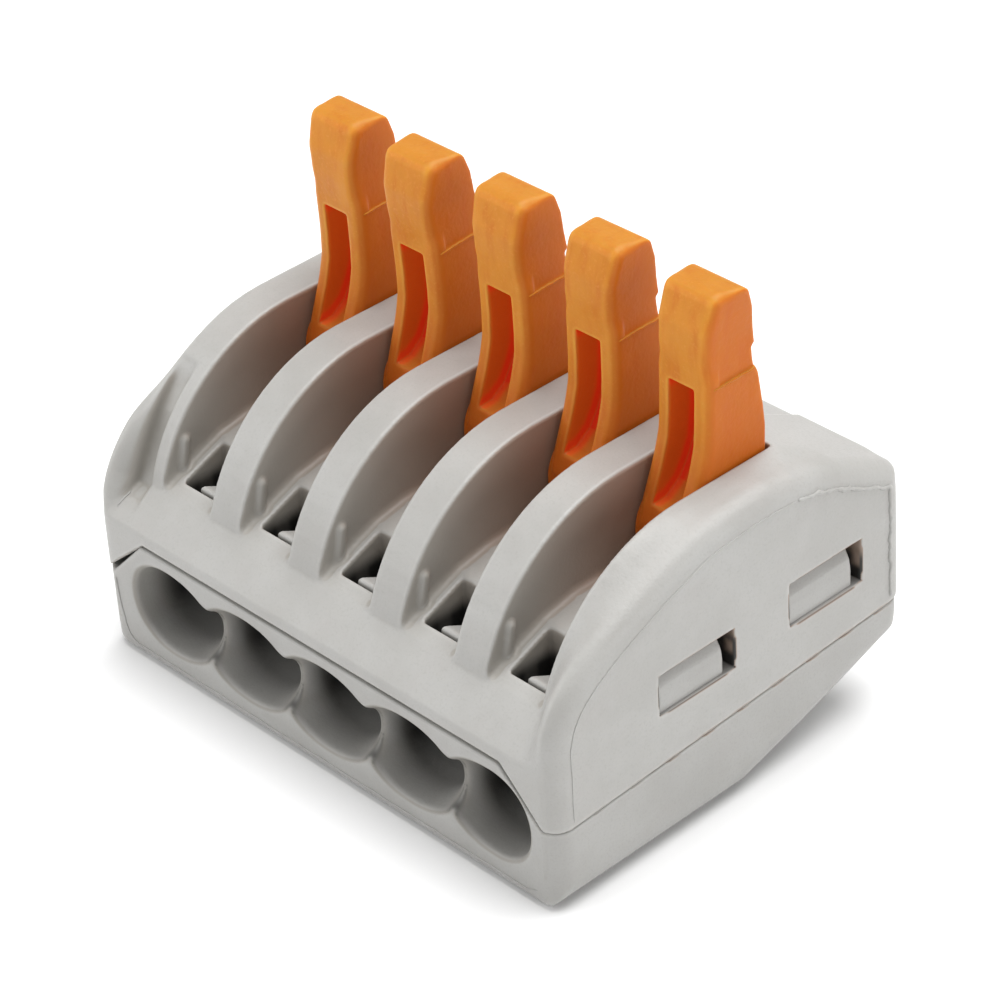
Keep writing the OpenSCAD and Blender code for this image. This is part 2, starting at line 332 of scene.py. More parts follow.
def piece(name, points, quads, material, body, node, slot):
    obj = mesh_object(name, points, quads, material)
    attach(obj, body)
    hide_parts(node)
    return obj


def join(parts):
    starts = np.cumsum([0] + [len(points) for points, _ in parts])
    return (np.vstack([points for points, _ in parts]),
            np.vstack([quads + start for (_, quads), start in zip(parts, starts)]))


def turn(points, degrees, first=1):
    """Points turned in the plane of the first axis and z."""
    cos, sin = math.cos(math.radians(degrees)), math.sin(math.radians(degrees))
    turned = points.copy()
    turned[:, first] = points[:, first] * cos - points[:, 2] * sin
    turned[:, 2] = points[:, first] * sin + points[:, 2] * cos
    return turned


def ring_sides(rings, corners):
    """Quads that join each ring of corners to the next."""
    quads = []
    for i in range(rings - 1):
        for j in range(corners):
            here, beside = i * corners + j, i * corners + (j + 1) % corners
            quads.append([here, beside, beside + corners, here + corners])
    return np.array(quads)


def bead_mesh(points, normals, radius, wobble, seed):
    """Closed thin uneven bead along points on a surface."""
    random = np.random.default_rng(seed)
    count, corners = len(points), 6
    across = unit(np.cross(unit(np.gradient(points, axis=0)), normals))
    radii = radius * (1 + wobble * (random.random(count) - 0.4))
    radii[0] = radii[-1] = radius * 0.15
    drift = np.convolve(random.normal(0, 1, count + 8), np.ones(3) / 3, "same")[4:-4]
    points = points + across * (drift * wobble * radius * 0.8)[:, None]
    angles = np.arange(corners) * 2 * math.pi / corners
    rings = points[:, None] + radii[:, None, None] * (
        np.cos(angles)[None, :, None] * across[:, None]
        + np.sin(angles)[None, :, None] * normals[:, None])
    vertices = np.vstack([rings.reshape(-1, 3), points[0], points[-1]])
    caps = []
    for end, order in ((0, -1), (count - 1, 1)):
        centre = count * corners + (end > 0)
        for j in range(0, corners, 2):
            fan = [end * corners + (j + i) % corners for i in range(3)] + [centre]
            caps.append(fan[::order])
    return vertices, np.vstack([ring_sides(count, corners), caps])[:, ::-1]


def bead(field, path, spacing, radius, wobble, seed):
    """Bead along a path that is resampled at even spacing and laid on the field's surface."""
    path = np.asarray(path, float)
    lengths = np.r_[0, np.cumsum(np.linalg.norm(np.diff(path, axis=0), axis=1))]
    stations = np.linspace(0, lengths[-1], max(3, int(lengths[-1] / spacing)))
    points = np.stack([np.interp(stations, lengths, path[:, i]) for i in range(3)], 1)
    return bead_mesh(*field.settle(points), radius, wobble, seed)


def strip_mesh(path, half_width, thickness, edge=0.05):
    """Closed strip along a (depth, z) path, with softened edges."""
    path = np.asarray(path, float)
    along = unit(np.gradient(path, axis=0))
    normals = np.stack([-along[:, 1], along[:, 0]], 1)
    wide, thick = half_width, thickness / 2
    section = [(-wide + edge, thick), (wide - edge, thick), (wide, thick - edge),
               (wide, -thick + edge), (wide - edge, -thick), (-wide + edge, -thick),
               (-wide, -thick + edge), (-wide, thick - edge)]
    vertices = [[x, point[0] + normal[0] * off, point[1] + normal[1] * off]
                for point, normal in zip(path, normals) for x, off in section]
    last = (len(path) - 1) * len(section)
    caps = []
    for cap in ([0, 1, 2, 7], [7, 2, 3, 6], [6, 3, 4, 5]):
        caps.append(cap)
        caps.append([last + i for i in cap[::-1]])
    sides = ring_sides(len(path), len(section))[:, [0, 3, 2, 1]]
    return np.array(vertices), np.vstack([sides, caps])


def store_surface(obj, field, points, reach=0.22, probes=(0.8, 1.6, 2.6, 3.6), bright=None):
    """Stores how convex, open and upward the surface is, for the materials.

    Vertices after the points belong to beads and get plain values. Those in the bright
    mask count as fully open.
    """
    def store(name, values, default):
        full = np.full(len(obj.data.vertices), default, np.float32)
        full[:len(values)] = values
        obj.data.attributes.new(name, "FLOAT", "POINT").data.foreach_set("value", full)

    convex = -6 * field.sample(points)
    for off in np.eye(3) * reach:
        convex = convex + field.sample(points + off) + field.sample(points - off)
    store("convex", np.clip(convex / reach / 1.2, -1, 1), 0)
    normals = unit(field.gradient(points))
    openness = 0
    for probe in probes:
        openness = openness + np.clip(field.sample(points + normals * probe) / probe, 0, 1)
    openness = openness / len(probes)
    if bright is not None:
        openness[bright] = 1.0
    store("open", openness, 1)
    store("up", unit(field.gradient(points + normals * 0.25, 0.15))[:, 2], 0)


# ---------------------------------------------------------------- materials
class Shader:
    """Principled material whose patterns are sized in mm of object space."""

    def __init__(self, name, shift=0.0):
        self.material = bpy.data.materials.new(name)
        self.material.use_nodes = True
        self.tree = self.material.node_tree
        self.tree.nodes.clear()
        self.shift = shift                 # moves every pattern, so that pieces differ
        output = self.node("OutputMaterial")
        self.bsdf = self.node("BsdfPrincipled")
        self.feed(output.inputs[0], self.bsdf.outputs[0])

    @cached_property
    def coords(self):
        return self.node("TexCoord").outputs["Object"]

    def feed(self, socket, value):
        if isinstance(value, bpy.types.NodeSocket):
            self.tree.links.new(value, socket)
        else:
            socket.default_value = (*value, 1.0) if socket.type == "RGBA" else value

    def node(self, kind, inputs=None, **settings):
        node = self.tree.nodes.new("ShaderNode" + kind)
        for name, value in settings.items():
            setattr(node, name, value)
        for key, value in (inputs or {}).items():
            self.feed(node.inputs[key], value)
        return node

    def noise(self, size, detail=3.0, rough=0.5, stretch=(1, 1, 1), offset=0.0):
        shift = self.shift + offset
        place = self.node("Mapping", {
            "Vector": self.coords, "Location": (shift, shift * 0.7, -shift),
            "Scale": tuple(1000.0 / size * k for k in stretch)})
        return self.node("TexNoise", {"Vector": place.outputs[0], "Scale": 1.0,
                                      "Detail": detail, "Roughness": rough}).outputs[0]

    def ramp(self, value, over, to=(0.0, 1.0)):
        return self.node("MapRange", {
            "Value": value, "From Min": over[0], "From Max": over[1],
            "To Min": to[0], "To Max": to[1]}, interpolation_type="SMOOTHSTEP").outputs[0]

    def mix(self, factor, base, tint, kind="MIX"):
        return self.node("Mix", {0: factor, 6: base, 7: tint},
                         data_type="RGBA", blend_type=kind).outputs[2]

    def blend(self, mask, base, tint, over, to=(0.0, 1.0)):
        """Base colour that takes the tint as the mask runs over a range."""
        return self.mix(self.ramp(mask, over, to), base, tint)

    def attribute(self, name):
        return self.node("Attribute", attribute_name=name).outputs["Fac"]

    def math(self, operation, first, second):
        return self.node("Math", {0: first, 1: second}, operation=operation).outputs[0]

    def split(self, vector):
        return self.node("SeparateXYZ", {0: vector}).outputs

    def normal(self):
        return self.split(self.node("NewGeometry").outputs["Normal"])

    def finish(self, inputs, bumps=()):
        """Sets the surface inputs; bumps are (pattern, height in mm) pairs, stacked."""
        normal = {}
        for pattern, height in bumps:
            bump = self.node("Bump", {"Strength": 1.0, "Distance": height * 0.001,
                                      "Height": pattern, **normal})
            normal = {"Normal": bump.outputs[0]}
        for name, value in {**inputs, **normal}.items():
            self.feed(self.bsdf.inputs[name], value)
        return self.material


def grey_plastic(name, shift=0.0, tone=1.0):
    mat = Shader(name, shift)
    cloud = mat.noise(size=3.2, detail=4, rough=0.55)
    flow = mat.noise(size=1.1, rough=0.6, stretch=(1, 0.35, 1), offset=3)
    speck = mat.noise(size=0.11, detail=2, rough=0.6)
    colour = mat.blend(cloud, base=(0.365, 0.360, 0.348), tint=(0.405, 0.402, 0.392),
                       over=(0.3, 0.7))
    colour = mat.blend(flow, colour, tint=(0.365, 0.350, 0.340), over=(0.45, 0.75), to=(0, 0.3))
    colour = mat.blend(speck, colour, tint=(0.325, 0.320, 0.305), over=(0.5, 0.75), to=(0, 0.4))
    # painted highlights make convex edges a little lighter, and painted shade makes inner corners
    # a little darker and warmer
    convex = mat.attribute("convex")
    colour = mat.blend(convex, colour, tint=(0.47, 0.468, 0.455), over=(0.15, 0.8), to=(0, 0.35))
    colour = mat.blend(convex, colour, tint=(0.27, 0.255, 0.235), over=(-0.05, -0.7),
                       to=(0, 0.25))
    # painted shade in recesses, browner away from the wire face as painted bounce light from the
    # orange levers, but not on their flat floors, which face the light
    x, y, z = mat.split(mat.coords)
    openness = mat.attribute("open")
    recess = mat.blend(y, base=(0.32, 0.305, 0.28), tint=(0.31, 0.235, 0.19),
                       over=(-0.0075, -0.001))
    flat = mat.math("MULTIPLY", mat.ramp(mat.attribute("up"), over=(0.45, 0.85), to=(0, 0.75)),
                    mat.ramp(convex, over=(-0.28, -0.1)))
    recess_shade = mat.math("MULTIPLY", mat.ramp(openness, over=(0.86, 0.5)),
                        mat.math("SUBTRACT", 1.0, flat))
    colour = mat.mix(recess_shade, colour, recess)
    # painted shade, near black, in the bores and windows, but not in the shallow scoop by the
    # left wall
    inside = mat.math("MULTIPLY", mat.ramp(openness, over=(0.6, 0.3)),
                      mat.ramp(x, over=(-0.0124, -0.0119)))
    inside = mat.math("MULTIPLY", inside, mat.ramp(z, over=(0.0088, 0.0080)))
    behind_face = mat.ramp(y, over=(-0.0098, -0.0078))
    # painted shade also in the low recesses behind the face
    low = mat.math("MULTIPLY", mat.ramp(z, over=(0.0062, 0.0058)), behind_face)
    low = mat.math("MULTIPLY", low,
                   mat.ramp(mat.math("ABSOLUTE", x, 0.0), over=(0.0130, 0.0126)))
    low = mat.math("MULTIPLY", low, mat.ramp(openness, over=(0.97, 0.86)))
    inside = mat.math("MAXIMUM", inside, low)
    # painted light: behind the face, surfaces that look up are painted lightest, as the light
    # falls from above
    bore_shade_colour = mat.blend(mat.normal()[2], base=(0.018, 0.017, 0.016), tint=(0.20, 0.195, 0.185),
                     over=(0.3, 1.0))
    hole_shade_colour = mat.mix(behind_face, (0.060, 0.057, 0.052), bore_shade_colour)
    colour = mat.mix(1.0, colour, (tone, tone * 0.995, tone * 0.98), kind="MULTIPLY")
    rough = mat.math("ADD", mat.ramp(cloud, over=(0.25, 0.75), to=(0.40, 0.52)),
                     mat.ramp(speck, over=(0.4, 0.7), to=(-0.03, 0.05)))
    return mat.finish({
        "Base Color": mat.mix(inside, colour, hole_shade_colour), "Roughness": rough, "IOR": 1.5,
        "Subsurface Weight": 0.06, "Subsurface Radius": (1.0, 0.9, 0.75),
        "Subsurface Scale": 0.0004,
    }, bumps=[(mat.noise(size=1.8), 0.035), (mat.noise(size=0.15, rough=0.6), 0.010)])


def orange_plastic(name, shift):
    mat = Shader(name, shift)
    cloud = mat.noise(size=2.2, detail=4, rough=0.6, stretch=(1, 1, 0.6))
    streak = mat.noise(size=0.9, rough=0.6, stretch=(1.4, 1.4, 0.3), offset=5)
    speck = mat.noise(size=0.14, detail=2, rough=0.6)
    colour = mat.blend(cloud, base=(0.52, 0.180, 0.016), tint=(0.59, 0.232, 0.028),
                       over=(0.3, 0.72))
    colour = mat.blend(streak, colour, tint=(0.48, 0.105, 0.010), over=(0.45, 0.75), to=(0, 0.5))
    colour = mat.blend(speck, colour, tint=(0.64, 0.27, 0.05), over=(0.52, 0.75), to=(0, 0.45))
    # painted shade makes recesses redder, painted highlights make edges lighter, and painted
    # shade deepens the red towards the hub, where the lever goes into its slot
    openness = mat.attribute("open")
    colour = mat.blend(openness, colour, tint=(0.62, 0.022, 0.008), over=(0.9, 0.35))
    colour = mat.blend(mat.attribute("convex"), colour, tint=(0.64, 0.31, 0.05),
                       over=(0.12, 0.7), to=(0, 0.6))
    colour = mat.blend(mat.split(mat.coords)[2], colour, tint=(0.42, 0.05, 0.006),
                       over=(0.0180, 0.0115), to=(0, 0.8))
    # painted light by facing: sides that face +x are painted deeper and redder as painted bounce
    # light from the next lever, and tops are painted browner as painted shade
    normal_x, _, normal_z = mat.normal()
    colour = mat.blend(normal_x, colour, tint=(0.44, 0.088, 0.006), over=(0.45, 0.95),
                       to=(0, 0.72))
    colour = mat.blend(normal_z, colour, tint=(0.38, 0.17, 0.025), over=(0.55, 0.95),
                       to=(0, 0.5))
    # painted glow: emission, stronger and redder in recesses, stands in for light passing through
    # the orange plastic
    painted_glow = mat.blend(openness, base=(0.75, 0.22, 0.02), tint=(0.85, 0.03, 0.01),
                     over=(0.75, 0.35))
    return mat.finish({
        "Base Color": colour, "Emission Color": painted_glow,
        "Emission Strength": mat.ramp(openness, over=(0.75, 0.35), to=(0.07, 0.24)),
        "Specular IOR Level": 0.14,
        "Roughness": mat.ramp(cloud, over=(0.25, 0.75), to=(0.32, 0.46)), "IOR": 1.52,
        "Subsurface Weight": 0.25, "Subsurface Radius": (1.0, 0.25, 0.06),
        "Subsurface Scale": 0.0007,
    }, bumps=[(mat.noise(size=1.5), 0.06), (mat.noise(size=0.2, rough=0.6), 0.014)])


def metal(name, dark, light, rough, grain):
    mat = Shader(name)
    brush = mat.noise(size=0.5, detail=4, rough=0.65, stretch=grain)
    colour = mat.blend(brush, dark, light, over=(0.3, 0.7))
    colour = mat.blend(mat.noise(size=1.6), colour, tint=tuple(k * 0.75 for k in dark),
                       over=(0.45, 0.8), to=(0, 0.35))
    return mat.finish({
        "Base Color": colour, "Metallic": 1.0,
        "Roughness": mat.ramp(brush, over=(0.2, 0.8), to=(rough - 0.08, rough + 0.1)),
    }, bumps=[(brush, 0.006), (mat.noise(size=0.08, detail=2), 0.002)])


GREY_UPPER = grey_plastic("housing_grey_upper")
GREY_LOWER = grey_plastic("housing_grey_lower", shift=11.0, tone=0.93)
ORANGE = [orange_plastic(f"lever_orange_{k}", shift=4.0 * k) for k in range(1, 6)]
STEEL = metal("spring_steel", dark=(0.42, 0.42, 0.43), light=(0.60, 0.60, 0.61),
              rough=0.30, grain=(1, 0.12, 1))
COPPER = metal("tinned_copper", dark=(0.60, 0.57, 0.53), light=(0.74, 0.71, 0.66),
               rough=0.34, grain=(0.12, 1, 1))


# ---------------------------------------------------------------- shells
# (depth, z) outlines: the walls at +x and -x, and the ribs between them
TAIL = [[REAR - 0.02, 11.0], [REAR - 0.32, 11.62], [14.9, 14.16]]
WALL = [[0, 2.0], [REAR, 2.0]] + TAIL + [
    [9.4, 14.1], [7.6, 13.6], [4.8, 12.5], [2.5, 11.4], [1.05, 10.3], [0.3, 9.2], [0, 8.0]]
WALL_LEFT = [[0, 2.0], [REAR, 2.0]] + TAIL[:2] + [
    [14.9, 13.95], [13.5, 13.82], [9.6, 13.76], [7.9, 13.45], [6.35, 12.75], [4.55, 12.0],
    [2.65, 11.2], [1.8, 10.6], [0.85, 9.5], [0.25, 8.4], [0, 7.4]]
RIBS = [[0.03, 2.0], [REAR - 0.03, 2.0], [REAR - 0.05, 10.98], [REAR - 0.35, 11.6],
        [14.9, 14.24]] + arc((9.4, 6.2), 8.1, 90, 164.8, 14) + [
    [0.95, 7.83], [0.15, 7.03], [0.03, 6.88]]
# (depth, z) outlines of the upper shell's cuts
SCOOP = [[-1, 7.45], [1.1, 7.6], [1.85, 7.9], [2.2, 8.4], [2.75, 9.4], [3.5, 10.85],
         [4.15, 11.75], [4.8, 12.8], [-1, 13.3]]
REAR_RECESS = [[15.9, 13.5], [REAR - 0.32, 11.4], [22, 10.5], [22, 15], [15.9, 15]]
SLOT_FRONT = [[1.5, 8.3], [3.5, 9.1], [4.9, 9.65], [6.5, 9.95], [7.8, 10.0], [8.6, 9.85],
              [9.2, 9.68], [9.75, 9.5], [15, 9.5], [15, 20], [-2, 20], [-2, 8.3]]
SLOT_BACK = [[9.75, 9.2], [15.65, 9.2], [15.65, 13.0], [15, 13.0], [15, 11], [9.75, 11]]
CHAMBER = [[6.45, 1], [18.75, 1], [18.75, 9.35], [9.75, 9.35], [7.4, 9.45], [6.45, 8.4]]
# (depth, z) outlines of the lower shell
BASE = [[0.42, 0], [11, 0], [14.5, 0.95], [18.2, 2.12], [REAR - 0.65, 2.7],
        [REAR - 0.15, 3.5], [REAR - 0.05, 4.3], [REAR - 0.05, 9.0], [0.05, 9.0], [0.05, 0.5],
        [0.14, 0.18]]
BELLY = [[-6, 0], [11, 0], [14.5, 0.95], [18.2, 2.12], [20, 2.7], [26, 5.0], [26, 30], [-6, 30]]
CAVITY = [[6.4, 1.2], [10.9, 1.2], [14.6, 2.2], [18.0, 3.4], [18.8, 4.4], [18.8, 12], [6.4, 12]]
PARTITION = [[6.3, 0.9], [11, 0.9], [14.8, 1.9], [18.9, 3.6], [18.9, 4.8], [17.5, 6.3],
             [14.8, 6.3], [14.8, 5.2], [8.9, 5.2], [8.9, 6.13], [6.3, 6.13]]
# (x, z) outlines of the opening under the upper shell's lip and of the face that fills it
LIP_OPENING = [[-13.6, 1], [13.35, 1], [13.35, 4.0], [11.0, 6.3], [-11.0, 6.3], [-13.6, 4.12]]
FACE = [[-13.42, 2], [13.28, 2], [13.28, 3.96], [10.93, 6.14], [-11.25, 6.14], [-13.42, 3.9]]
# side catches: depth from, to, z from, to; then (distance out, share of the height) profile
CATCHES = ((6.01, 9.75, 6.5, 8.7), (13.56, 17.4, 6.8, 9.09))
CATCH_PROFILE = ((0.98, 0.45), (0.9, 0.66), (0.7, 0.83), (0.45, 0.94))
# wire entries: half width at the face and how much of it goes further in
ENTRY_INNER, ENTRY_LEFT, ENTRY_RIGHT = (2.92, 0.92), (2.36, 0.3), (2.12, 0.1)
BORE = 1.35                        # half width of an entry at its inner end


def below_parting(y, z, front_z):
    """Positive below the sloping plane that parts the shells, which is at front_z in front."""
    return ((front_z + y / REAR) - z) * 0.9988     # the cosine of its slope


def rounded_end(profile, ends, radius):
    one, two = profile + radius, ends + radius
    corner = np.sqrt(np.maximum(one, 0) ** 2 + np.maximum(two, 0) ** 2)
    return corner + np.minimum(np.maximum(one, two), 0) - radius


def upper_field():
    shell = Field((-14.6, -0.5, 2.6), (14.6, 21.2, 14.8), HOUSING_STEP)
    cut = shell.cut
    x, y, z = np.ix_(*shell.axes)
    ribs, wall, wall_left = [
        polygon(outline, y[0], z[0])[None] for outline in
        (RIBS, round_corners(WALL, sharp=(0, 1)), round_corners(WALL_LEFT, sharp=(0, 1)))]
    # ribs stand back in the middle; both ends swell out to the side walls
    right, left = ease((x - 11.95) / 1.5), ease((-x - 12.85) / 1.15)
    profile = ribs * (1 - right - left) + wall * right + wall_left * left
    shell.values[:] = rounded_end(profile, np.abs(x) - HALF_WIDTH, 1.0)
    shell.values[:] = smooth_max(shell.values, below_parting(y, z, 4.05), 0.08)
    # lip over the wire entries and the hollow that the lower shell fills
    shell.prism_y(cut, LIP_OPENING, (-2, 6.5), blend=0.08)
    shell.box(cut, (-13.05, 13.05), (6.45, 18.95), (1, 6.35))
    shell.box(cut, (12.25, 13.05), (4.9, 18.95), (1, 9.75))
    shell.box(cut, (-13.05, -12.3), (4.9, 18.95), (1, 9.75))
    shell.prism_x(cut, SCOOP, (-13.05, SLOT_LEFT - 0.85), blend=0.3, edge=0.25)
    shell.prism_x(cut, REAR_RECESS, (-8.4, 8.4), blend=0.1)
    # lever slots, the chambers under them and the front windows
    for pole in POLES:
        slot = (pole - SLOT, pole + SLOT)
        shell.prism_x(cut, SLOT_FRONT, slot, blend=0.1, edge=0.32)
        shell.prism_x(cut, SLOT_BACK, slot, blend=0.05)
        shell.prism_x(cut, CHAMBER, (pole - 1.9, pole + 1.9), blend=0.05)
        shell.box(cut, (pole - 0.95, pole + 1.45), (2.4, 4.65), (6, 9.9), blend=0.1, edge=0.1)
    # holes for the lever pins
    holes = [(one + SLOT - 0.2, two - SLOT + 0.2) for one, two in zip(POLES[:-1], POLES[1:])]
    holes += [(SLOT_LEFT - 1.0, SLOT_LEFT + 0.2), (SLOT_RIGHT - 0.2, SLOT_RIGHT + 1.0)]
    for hole in holes:
        shell.rod(cut, hole, AXIS_DEPTH, AXIS_Z, radius=1.05, blend=0.04)
    # windows for the side catches
    for side in ((-15, -12.95), (12.95, 15)):
        shell.box(cut, side, (5.96, 10.24), (6.81, 8.73), blend=0.08)
        shell.box(cut, side, (13.51, 17.81), (7.04, 9.12), blend=0.08)
    # small ridges that hold a closed lever, with rounded tops
    for pole in POLES:
        cells, (x, y, z) = shell.block((pole - SLOT - 0.4, pole - SLOT + 0.4), (2.3, 3.6),
                                       (8.4, 10.8))
        rise = np.clip((z - 8.7) / 1.5, 0, 1)
        ridge = np.sqrt((x - (pole - SLOT - 0.03)) ** 2 + (y - 2.82 - 0.28 * rise) ** 2
                        + (z - 8.7 - 1.5 * rise) ** 2) - 0.26
        shell.add(cells, ridge, 0.08)
    return shell


def cut_entries(shell):
    """Wide wire entries that run into one another behind the face, then narrow to the bores."""
    cells, (x, y, z) = shell.block((-13.2, 13.4), (-0.5, 6.6), (0.6, 6.2))
    funnel, narrow = ease((y + 0.1) / 2.0), ease((y - 1.9) / 3.2)
    half_height = 2.06 - 0.14 * funnel - 0.57 * narrow
    entries = None
    for k, pole in enumerate(POLES):
        left, right = [
            (wide - taper * funnel) * (1 - narrow) + BORE * narrow for wide, taper in
            (ENTRY_LEFT if k == 0 else ENTRY_INNER, ENTRY_RIGHT if k == 4 else ENTRY_INNER)]
        off = x - pole
        half_width = np.where(off < 0, left, right)
        oval = (np.abs(off / half_width) ** 2.15
                + np.abs((z - 3.4) / half_height) ** 2.15) ** (1 / 2.15)
        entry = (oval - 1) * np.minimum(half_width, half_height) * 0.95
        entries = entry if entries is None else smooth_min(entries, entry, 0.45)
    shell.cut(cells, entries, 0.3)


def lower_field():
    shell = Field((-14.6, -0.5, -0.5), (14.6, 21.2, 9.9), HOUSING_STEP)
    cut, add = shell.cut, shell.add
    x, y, z = np.ix_(*shell.axes)
    ends = np.abs(x) - (HALF_WIDTH - 0.05)
    base = polygon(round_corners(BASE, sharp=(7, 8)), y[0], z[0])[None]
    belly = polygon(BELLY, y[0], z[0])[None]
    shell.values[:] = np.maximum(rounded_end(base, ends, 1.0), rounded_end(belly, ends, 1.5))
    above = -below_parting(y, z, 4.0) + 0.06 * ease((y - 19.2) / 1.2)
    shell.values[:] = smooth_max(shell.values, above, 0.05)
    shell.prism_y(add, FACE, (0.05, 6.4), edge=0.06)
    shell.prism_x(cut, CAVITY, (-HALF_WIDTH + 1.8, HALF_WIDTH - 1.85))
    cut_entries(shell)
    for pole in POLES:
        shell.box(cut, (pole - 0.9, pole + 0.5), (2.5, 4.6), (5.3, 7))
    for pole in POLES[:-1]:
        shell.prism_x(add, PARTITION, (pole + 2.0, pole + 3.0))
    # upright side plates with the catches on them
    shell.box(add, (12.29, 13.0), (5.2, 18.6), (3.5, 9.6), edge=0.1)
    shell.box(add, (-13.0, -12.34), (5.2, 18.6), (3.5, 9.6), edge=0.1)
    for side in (-1, 1):
        for front, back, low, high in CATCHES:
            profile = [(-0.1, low), (0.98, low)]
            profile += [(out, low + share * (high - low)) for out, share in CATCH_PROFILE]
            profile.append((-0.1, high))
            outline = [[side * (13.0 + out), height] for out, height in profile]
            shell.prism_y(add, outline[::side], (front, back), edge=0.12)
    # rounded stops that show at the front of each slot window
    for pole in POLES:
        cells, (x, y, z) = shell.block((pole - 0.3, pole + 1.5), (2.4, 4.6), (5.6, 8.6))
        stop = smooth_max(span(x, pole - 0.2, pole + 1.4), span(y, 2.52, 4.4), 0.25)
        stop = smooth_max(stop, z - 8.8 + 0.5 * (y - 2.5), 0.3)
        add(cells, np.maximum(stop, 5.8 - z))
    return shell


def upper_shell():
    """Upper shell, with the raised outline that the mould leaves round the side panels."""
    field = upper_field()
    points, quads = field.surface()
    panel = inset(WALL, 1.02)[2:]
    panel = round_corners(panel, sharp=(0, len(panel) - 1))
    side = HALF_WIDTH - 0.02
    path = [[side, REAR - 1.02, 5.3]] + [[side, y, z] for y, z in panel] + [[side, 1.02, 4.35]]
    rear = [point for point in path if point[1] > 14.0]
    front = [point for point in path if point[1] <= 14.6]
    scoop = [[-13.03, 1.35, 7.5], [-13.02, 1.0, 7.2], [-13.0, 0.6, 7.05]]
    mesh = join([
        (points, quads),
        bead(field, rear, spacing=0.12, radius=0.085, wobble=0.7, seed=3),
        bead(field, front, spacing=0.25, radius=0.035, wobble=0.4, seed=4),
        bead(field, scoop, spacing=0.12, radius=0.05, wobble=0.5, seed=6)])
    obj = piece("upper_shell", *mesh, GREY_UPPER, "housing", "upper_housing", "housing_grey")
    store_surface(obj, field, points)


def lower_shell():
    """Lower shell, with the thin rim round its front face."""
    field = lower_field()
    points, quads = field.surface()
    rim = [[-13.25, 0.05, 3.7], [-13.15, 0.05, 2.6], [-12.95, 0.05, 1.3], [-12.75, 0.05, 0.8],
           [-12.35, 0.05, 0.55], [-6, 0.05, 0.52], [0, 0.05, 0.52], [6, 0.05, 0.52],
           [12.2, 0.05, 0.52], [12.8, 0.05, 0.75]]
    mesh = join([(points, quads),
                 bead(field, rim, spacing=0.22, radius=0.045, wobble=0.5, seed=8)])
    obj = piece("lower_shell", *mesh, GREY_LOWER, "housing", "lower_housing", "housing_grey")
    # the stops catch the light though they stand in a recess
    x, y, z = points.T
    stops = (y > 2.3) & (y < 4.6) & (z > 7.0) & (np.abs(x) < 12)
    store_surface(obj, field, points, bright=stops)


# ---------------------------------------------------------------- levers
# (depth, z) outlines about the lever's axis, fully open: front edge, then rear edge
LEVER_FRONT = [[-1.98, -0.3], [-1.98, 0.6], [-1.76, 1.25], [-1.46, 2.0], [-1.05, 3.0],
               [-0.85, 3.6], [-0.66, 4.3], [-0.57, 5.45], [-0.54, 6.4], [-0.51, 7.4],
               [-0.56, 8.5], [-0.52, 9.6], [-0.12, 10.8], [0.1, 11.05], [0.45, 11.12],
               [1.62, 10.98]]
LEVER_REAR = [[1.85, 10.8], [2.12, 9.9], [2.3, 8.12], [2.12, 7.96], [2.2, 7.15], [2.38, 6.75],
              [2.62, 5.15], [2.73, 4.13], [2.69, 2.92], [2.3, 1.4], [1.85, 0.3], [0, 0]]
NOTCH = (17, 18, 19)               # corners of the whole outline that stay sharp
BEHIND = [[4, 10.3], [4, 0], [0, 0]]    # closes the front edge far behind the lever
GROOVE = [[-4, 1.35], [-0.9, 1.5], [-0.1, 2.0], [0.4, 2.75], [0.8, 3.6], [0.98, 4.7],
          [1.08, 5.7], [1.08, 6.5], [0.95, 6.9], [-4, 6.9]]
HUB_RADIUS, PIN_RADIUS = 2.0, 1.0
CAM_ARM, CAM_RADIUS = 2.59, 0.8
CAM_ANGLE = math.radians(-90 + 25.3)


def lever_field():
    lever = Field((-2.6, -3.0, -4.0), (2.6, 3.2, 11.7), LEVER_STEP)
    x, y, z = np.ix_(*lever.axes)
    outline = polygon(soften(LEVER_FRONT + LEVER_REAR, 0.14, NOTCH), y[0], z[0])[None]
    front = polygon(soften(LEVER_FRONT + BEHIND, 0.14, (16, 17, 18)), y[0], z[0])[None]
    # the head's sides stand back a little above a step
    fade = 1 - (1 - ease((y - 0.1) / 0.14)) * (1 - ease((z - 7.2) / 0.8))
    half_width = 1.48 - 0.1 * ease((z - 7.02) / 0.07) * fade
    half_width = half_width + 0.09 * np.clip((z - 8.9) / 2.0, 0, 1)
    side = np.abs(x - 0.1 * np.clip((z - 8.6) / 2.2, 0, 1)) - half_width
    body = smooth_max(side, outline, 0.1)
    # the front edges are cut back; the cut dies out over the crown, towards the rear edge
    chamfer = (0.3 - 0.04 * ease((z - 8.0) / 2.5)) * (
        1 - 0.8 * ease((y - 0.5) / 1.1) * ease((z - 10.0) / 0.8))
    body = smooth_max(body, (side + front + chamfer) * 0.7071, 0.12)
    # hub with a cam behind and below it, and the pins at both sides
    centre = CAM_ARM * np.array([math.cos(CAM_ANGLE), math.sin(CAM_ANGLE)])
    hub = np.sqrt(y ** 2 + z ** 2) - HUB_RADIUS
    cam = np.sqrt((y - centre[0]) ** 2 + (z - centre[1]) ** 2) - CAM_RADIUS
    along = np.clip((y * centre[0] + z * centre[1]) / (centre @ centre), 0, 1)
    neck = np.sqrt((y - along * centre[0]) ** 2 + (z - along * centre[1]) ** 2) - (
        2.0 - 1.2 * along) * 0.72
    hubs = np.minimum(np.minimum(hub, cam), neck)
    body = np.minimum(body, smooth_max(np.abs(x) - 1.45, hubs, 0.15))
    pins = smooth_max(np.sqrt(y ** 2 + z ** 2) - PIN_RADIUS, np.abs(x) - 2.25, 0.15)
    body = np.minimum(body, pins)
    groove = smooth_max(np.abs(x) - 0.68, polygon(GROOVE, y[0], z[0])[None], 0.1)
    lever.values[:] = smooth_max(body, -groove, 0.1)
    return lever


